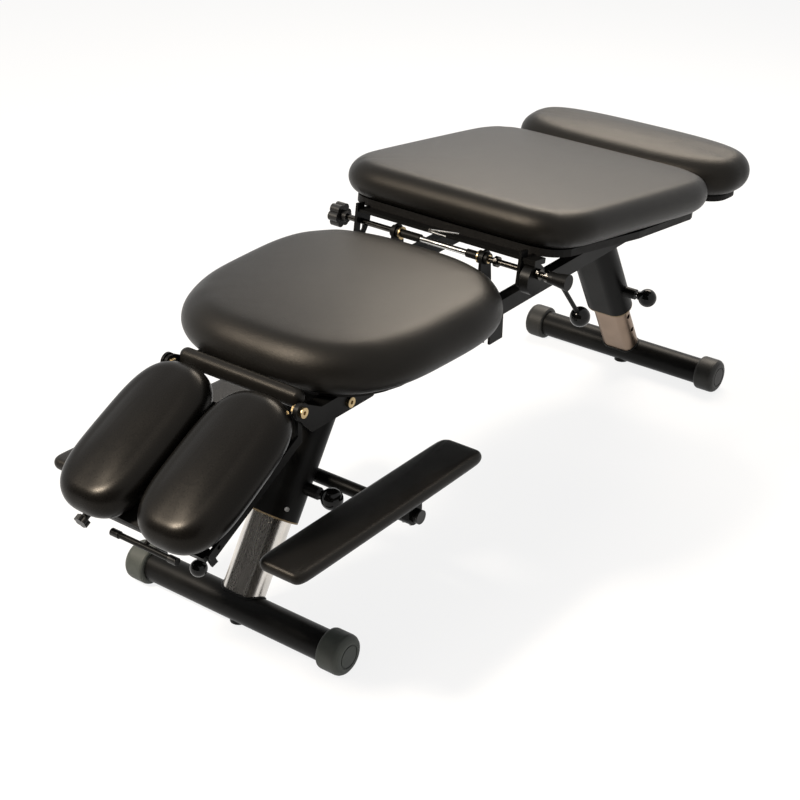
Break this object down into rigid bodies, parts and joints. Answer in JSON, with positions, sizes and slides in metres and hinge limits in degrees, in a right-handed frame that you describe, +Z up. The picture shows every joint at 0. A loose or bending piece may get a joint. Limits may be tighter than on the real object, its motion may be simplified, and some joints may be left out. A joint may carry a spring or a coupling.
{
  "type": "chiropractic table",
  "caption": "Portable chiropractic adjusting table with tilting split headpiece, thoracic cushion, raised drop pelvic section, foot bolster, armrests and telescopic legs on floor tubes.",
  "frame": {"origin": "on the floor, under the middle of the table's length and width", "axes": "+X from the head end to the foot end, +Y to the left of a person lying face down, +Z up"},
  "size_m": [1.7394, 0.586, 0.6672],
  "materials": {
    "black_coat": "satin powder coat",
    "head_leg_metal": "brushed",
    "foot_leg_metal": "satin",
    "bright_steel": "bright plating",
    "zinc_brass": "yellow zinc",
    "bush_plastic": "matt",
    "leatherette": "satin, upholstered over foam",
    "board_wood": "sealed plywood",
    "grip_plastic": "glossy ball grips",
    "knob_plastic": "moulded",
    "head_cap_rubber": "dark green-grey rubber",
    "foot_cap_rubber": "black rubber",
    "spring_steel": "plain"
  },
  "bodies": {
    "frame": {"left_rail": "black_coat", "right_rail": "black_coat", "head_crossmember": "black_coat", "mid_crossmember": "black_coat", "foot_crossmember": "black_coat", "head_sleeve": "black_coat", "foot_sleeve": "black_coat", "sleeve_bushes": "bush_plastic", "gusset_plates": "black_coat", "gusset_bolts": "zinc_brass", "neck_roll": "leatherette", "thoracic_board": "board_wood", "thoracic_cushion": "leatherette", "bolster_risers": "black_coat", "bolster_board": "board_wood", "foot_bolster": "leatherette", "bearing_brackets": "black_coat", "shaft_bushes": "zinc_brass", "stop_plate": "black_coat", "pin_housings": "black_coat", "pin_springs": "spring_steel", "armrest_bar": "black_coat", "armrest_bar_bracket": "black_coat", "armrest_bar_plugs": "knob_plastic", "hinge_brackets": "black_coat", "hinge_pin": "bright_steel"},
    "head_leg": {"head_leg_tube": "head_leg_metal", "head_floor_tube": "black_coat", "head_floor_caps": "head_cap_rubber"},
    "foot_leg": {"foot_leg_tube": "foot_leg_metal", "foot_floor_tube": "black_coat", "foot_floor_caps": "foot_cap_rubber"},
    "head_pin": {"head_pull_pin": "bright_steel", "head_pin_ball": "grip_plastic"},
    "foot_pin": {"foot_pull_pin": "bright_steel", "foot_pin_ball": "grip_plastic"},
    "headpiece": {"headpiece_base": "black_coat"},
    "face_rest": {"face_board": "board_wood", "left_face_pad": "leatherette", "right_face_pad": "leatherette"},
    "tilt_handle": {"release_handle": "black_coat", "release_handle_tips": "knob_plastic"},
    "face_lever": {"head_drop_lever": "black_coat", "head_drop_ball": "grip_plastic"},
    "face_knob": {"head_tension_knob": "knob_plastic"},
    "pelvic_section": {"pelvic_board": "board_wood", "pelvic_cushion": "leatherette", "pelvic_front_frame": "black_coat", "hairpin_wire": "bright_steel", "hinge_leaf": "black_coat"},
    "cross_shaft": {"cam_shaft": "bright_steel", "shaft_spacers": "black_coat", "lift_cam": "black_coat", "cock_lever": "bright_steel", "cock_lever_ball": "grip_plastic"},
    "drop_knob": {"tension_knob": "knob_plastic"},
    "left_arm": {"left_armrest": "leatherette", "left_arm_clamp": "black_coat"},
    "right_arm": {"right_armrest": "leatherette", "right_arm_clamp": "black_coat"}
  },
  "joints": [
    {"name": "head_leg_slide", "type": "slide", "parent": "frame", "child": "head_leg", "axis": [-0.5373, 0, -0.8434], "range_m": [-0.048, 0.096]},
    {"name": "foot_leg_slide", "type": "slide", "parent": "frame", "child": "foot_leg", "axis": [0.4924, 0, -0.8704], "range_m": [-0.096, 0.048]},
    {"name": "head_pin_pull", "type": "slide", "parent": "frame", "child": "head_pin", "axis": [0, -1, 0], "range_m": [-0.006, 0], "stiffness_N_per_m": 400, "springref_m": -0.009},
    {"name": "foot_pin_pull", "type": "slide", "parent": "frame", "child": "foot_pin", "axis": [0, -1, 0], "range_m": [-0.006, 0], "stiffness_N_per_m": 400, "springref_m": -0.009},
    {"name": "headpiece_tilt", "type": "hinge", "parent": "frame", "child": "headpiece", "pos_m": [-0.57978, 0, 0.488], "axis": [0, 1, 0], "range_deg": [0, 50]},
    {"name": "face_drop", "type": "hinge", "parent": "headpiece", "child": "face_rest", "pos_m": [-0.5936, 0, 0.43162], "axis": [0, 1, 0], "range_deg": [0, 1.35]},
    {"name": "tilt_release", "type": "hinge", "parent": "headpiece", "child": "tilt_handle", "pos_m": [-0.80105, -0.015, 0.30231], "axis": [0, 1, 0], "range_deg": [0, 12], "stiffness_Nm_per_rad": 0.8, "springref_deg": -8.59},
    {"name": "face_lever_swing", "type": "hinge", "parent": "headpiece", "child": "face_lever", "pos_m": [-0.78702, 0, 0.3247], "axis": [0, -1, 0], "range_deg": [0, 90]},
    {"name": "face_knob_turn", "type": "hinge", "parent": "headpiece", "child": "face_knob", "pos_m": [-0.8385, 0.115, 0.29795], "axis": [-0.8793, 0, -0.4762], "continuous": true},
    {"name": "pelvic_drop", "type": "hinge", "parent": "frame", "child": "pelvic_section", "pos_m": [0.57822, 0, 0.491], "axis": [0, 1, 0], "range_deg": [0, 1.35]},
    {"name": "cock_lever_swing", "type": "hinge", "parent": "frame", "child": "cross_shaft", "pos_m": [0.02622, 0, 0.553], "axis": [0, 1, 0], "range_deg": [0, 90]},
    {"name": "drop_knob_turn", "type": "hinge", "parent": "cross_shaft", "child": "drop_knob", "pos_m": [0.02622, 0.251, 0.553], "axis": [0, 1, 0], "continuous": true},
    {"name": "left_arm_tilt", "type": "hinge", "parent": "frame", "child": "left_arm", "pos_m": [-0.39478, 0.242, 0.239], "axis": [0, 1, 0], "range_deg": [-27.6, 22.4]},
    {"name": "right_arm_tilt", "type": "hinge", "parent": "frame", "child": "right_arm", "pos_m": [-0.39478, -0.242, 0.239], "axis": [0, 1, 0], "range_deg": [-25, 25]}
  ],
  "couplings": [
    {"joint": "cock_lever_swing", "follows": "pelvic_drop", "ratio": 66.676},
    {"joint": "face_lever_swing", "follows": "face_drop", "ratio": 66.647}
  ]
}
